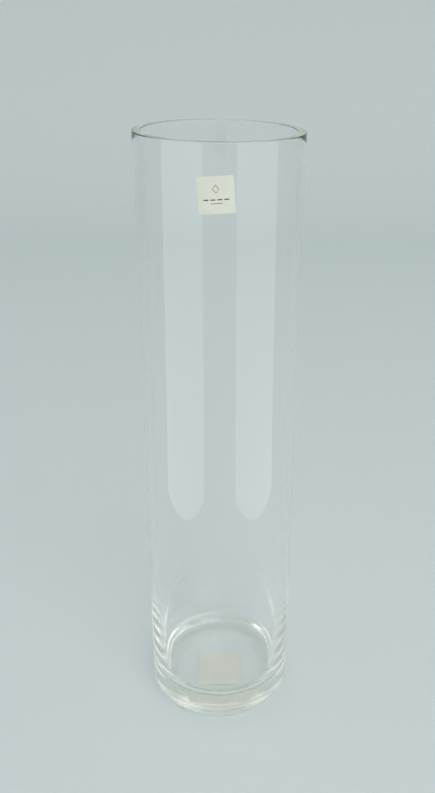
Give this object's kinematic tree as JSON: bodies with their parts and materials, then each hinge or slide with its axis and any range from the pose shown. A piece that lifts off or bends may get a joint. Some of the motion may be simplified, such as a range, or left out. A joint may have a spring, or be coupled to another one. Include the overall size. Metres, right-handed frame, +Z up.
{
  "type": "cylinder vase",
  "caption": "Tall straight clear-glass cylinder vase with a thick base and small paper stickers, for holding cut stems in water.",
  "frame": {"origin": "centre of the underside of the base, at the height of the flat foot ring the vase stands on", "axes": "+Z up along the vase's axis, out of its mouth; -Y is the front, where the upper sticker is; +X to the right of it"},
  "size_m": [0.1, 0.1004, 0.4],
  "materials": {
    "clear_glass": "polished",
    "label_paper": "matte",
    "label_adhesive": "satin"
  },
  "bodies": {
    "root": {"glass_body": "clear_glass", "front_label": "label_paper", "front_label_adhesive": "label_adhesive", "base_label": "label_paper", "base_label_adhesive": "label_adhesive"}
  },
  "joints": []
}
